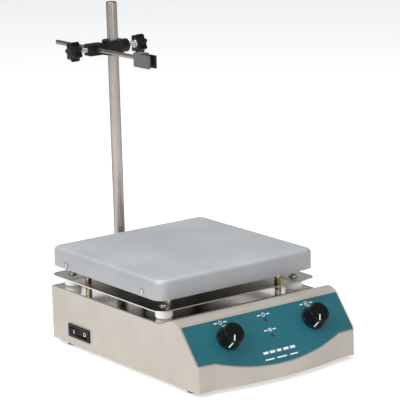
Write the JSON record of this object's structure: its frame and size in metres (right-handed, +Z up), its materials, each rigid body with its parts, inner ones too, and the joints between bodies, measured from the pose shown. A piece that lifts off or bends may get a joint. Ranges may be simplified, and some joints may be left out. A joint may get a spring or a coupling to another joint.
{
  "type": "magnetic stirrer",
  "caption": "Hotplate magnetic stirrer with a square plate, sloped control panel with two dials, rocker switch, support rod, boss head and probe holder.",
  "frame": {"origin": "on the bench under the middle of the bounding box, 7.5 mm behind the stirring axis", "axes": "+Z up, control panel faces -Y, power switch on the -X side"},
  "size_m": [0.1751, 0.3068, 0.301],
  "materials": {
    "cream_paint": "satin powder coat, warm cream",
    "teal_film": "printed polyester film, semi-gloss teal",
    "cast_aluminium": "die cast, fine satin silver finish",
    "mirror_steel": "bright polished stainless sheet",
    "steel": "ground stainless",
    "brass": "turned",
    "white_ceramic": "white, unglazed",
    "black_plastic": "glossy black moulding",
    "black_paint": "black coated casting",
    "rubber": "black, matte",
    "red_lens": "tinted red lens, unlit",
    "board_green": "solder mask",
    "zinc_plate": "zinc plated sheet",
    "magnet": "sintered magnet",
    "mica": "mica laminate",
    "glass_sleeve": "woven glass sleeve",
    "grey_metal": "dark grey zinc alloy"
  },
  "bodies": {
    "stirrer": {"housing_shell": "cream_paint", "rod_bracket": "cream_paint", "base_plate": "zinc_plate", "speed_pot": "zinc_plate", "heat_pot": "zinc_plate", "motor_bracket": "zinc_plate", "motor": "zinc_plate", "plate_pan": "zinc_plate", "foot_1": "rubber", "foot_2": "rubber", "foot_3": "rubber", "foot_4": "rubber", "top_cover": "mirror_steel", "reflector": "mirror_steel", "panel_overlay": "teal_film", "power_led": "red_lens", "heat_led": "red_lens", "rod_nut": "steel", "reflector_screw_1": "steel", "reflector_screw_2": "steel", "reflector_screw_3": "steel", "reflector_screw_4": "steel", "plate_screw_1": "steel", "plate_screw_2": "steel", "plate_screw_3": "steel", "plate_screw_4": "steel", "switch_frame": "black_plastic", "power_inlet": "black_plastic", "fuse_holder": "black_plastic", "circuit_board": "board_green", "work_plate": "cast_aluminium", "spacer_1": "white_ceramic", "spacer_2": "white_ceramic", "spacer_3": "white_ceramic", "spacer_4": "white_ceramic", "pillar_1": "brass", "pillar_2": "brass", "pillar_3": "brass", "pillar_4": "brass", "heater_disc": "mica", "heater_lead": "glass_sleeve"},
    "speed_dial": {"speed_knob": "black_plastic", "speed_shaft": "steel"},
    "heat_dial": {"heat_knob": "black_plastic", "heat_shaft": "steel"},
    "power_rocker": {"switch_rocker": "black_plastic"},
    "magnet_rotor": {"magnet_carrier": "cast_aluminium", "magnet_1": "magnet", "magnet_2": "magnet"},
    "fuse_cap": {"fuse_cap": "black_plastic"},
    "rod": {"support_rod": "steel"},
    "boss": {"boss_head": "black_paint"},
    "arm_clamp": {"arm_star_knob": "black_plastic", "arm_clamp_screw": "steel"},
    "rod_clamp": {"rod_star_knob": "black_plastic", "rod_clamp_screw": "steel"},
    "arm": {"probe_arm": "steel"},
    "holder": {"holder_block": "grey_metal", "jaw_pin": "steel"},
    "jaw": {"holder_jaw": "black_paint"}
  },
  "joints": [
    {"name": "speed_dial_turn", "type": "hinge", "parent": "stirrer", "child": "speed_dial", "pos_m": [-0.0445, -0.13257, 0.04107], "axis": [0, 0.7771, -0.6293], "range_deg": [0, 300]},
    {"name": "heat_dial_turn", "type": "hinge", "parent": "stirrer", "child": "heat_dial", "pos_m": [0.0475, -0.13257, 0.04107], "axis": [0, 0.7771, -0.6293], "range_deg": [0, 300]},
    {"name": "power_rocker_tilt", "type": "hinge", "parent": "stirrer", "child": "power_rocker", "pos_m": [-0.0825, 0.0325, 0.0175], "axis": [0, 0, -1], "range_deg": [0, 12]},
    {"name": "magnet_spin", "type": "hinge", "parent": "stirrer", "child": "magnet_rotor", "pos_m": [0, -0.0075, 0.042], "axis": [0, 0, 1], "continuous": true},
    {"name": "fuse_cap_twist", "type": "hinge", "parent": "stirrer", "child": "fuse_cap", "pos_m": [0.044, 0.0768, 0.028], "axis": [0, 1, 0], "range_deg": [0, 90]},
    {"name": "rod_turn", "type": "hinge", "parent": "stirrer", "child": "rod", "pos_m": [0, 0.0905, 0.034], "axis": [0, 0, 1], "continuous": true},
    {"name": "boss_height", "type": "slide", "parent": "rod", "child": "boss", "axis": [0, 0, 1], "range_m": [-0.13, 0.03]},
    {"name": "arm_clamp_turn", "type": "hinge", "parent": "boss", "child": "arm_clamp", "pos_m": [-0.038, 0.0905, 0.2595], "axis": [1, 0, 0], "range_deg": [0, 360]},
    {"name": "rod_clamp_turn", "type": "hinge", "parent": "boss", "child": "rod_clamp", "pos_m": [0.0245, 0.0905, 0.2596], "axis": [-1, 0, 0], "range_deg": [0, 360]},
    {"name": "arm_reach", "type": "slide", "parent": "boss", "child": "arm", "axis": [0, -1, 0], "range_m": [-0.04, 0.03]},
    {"name": "holder_turn", "type": "hinge", "parent": "arm", "child": "holder", "pos_m": [-0.02, 0.0195, 0.2595], "axis": [0, 1, 0], "range_deg": [-90, 90]},
    {"name": "jaw_open", "type": "slide", "parent": "holder", "child": "jaw", "axis": [1, 0, 0], "range_m": [-0.0022, 0.003]}
  ]
}
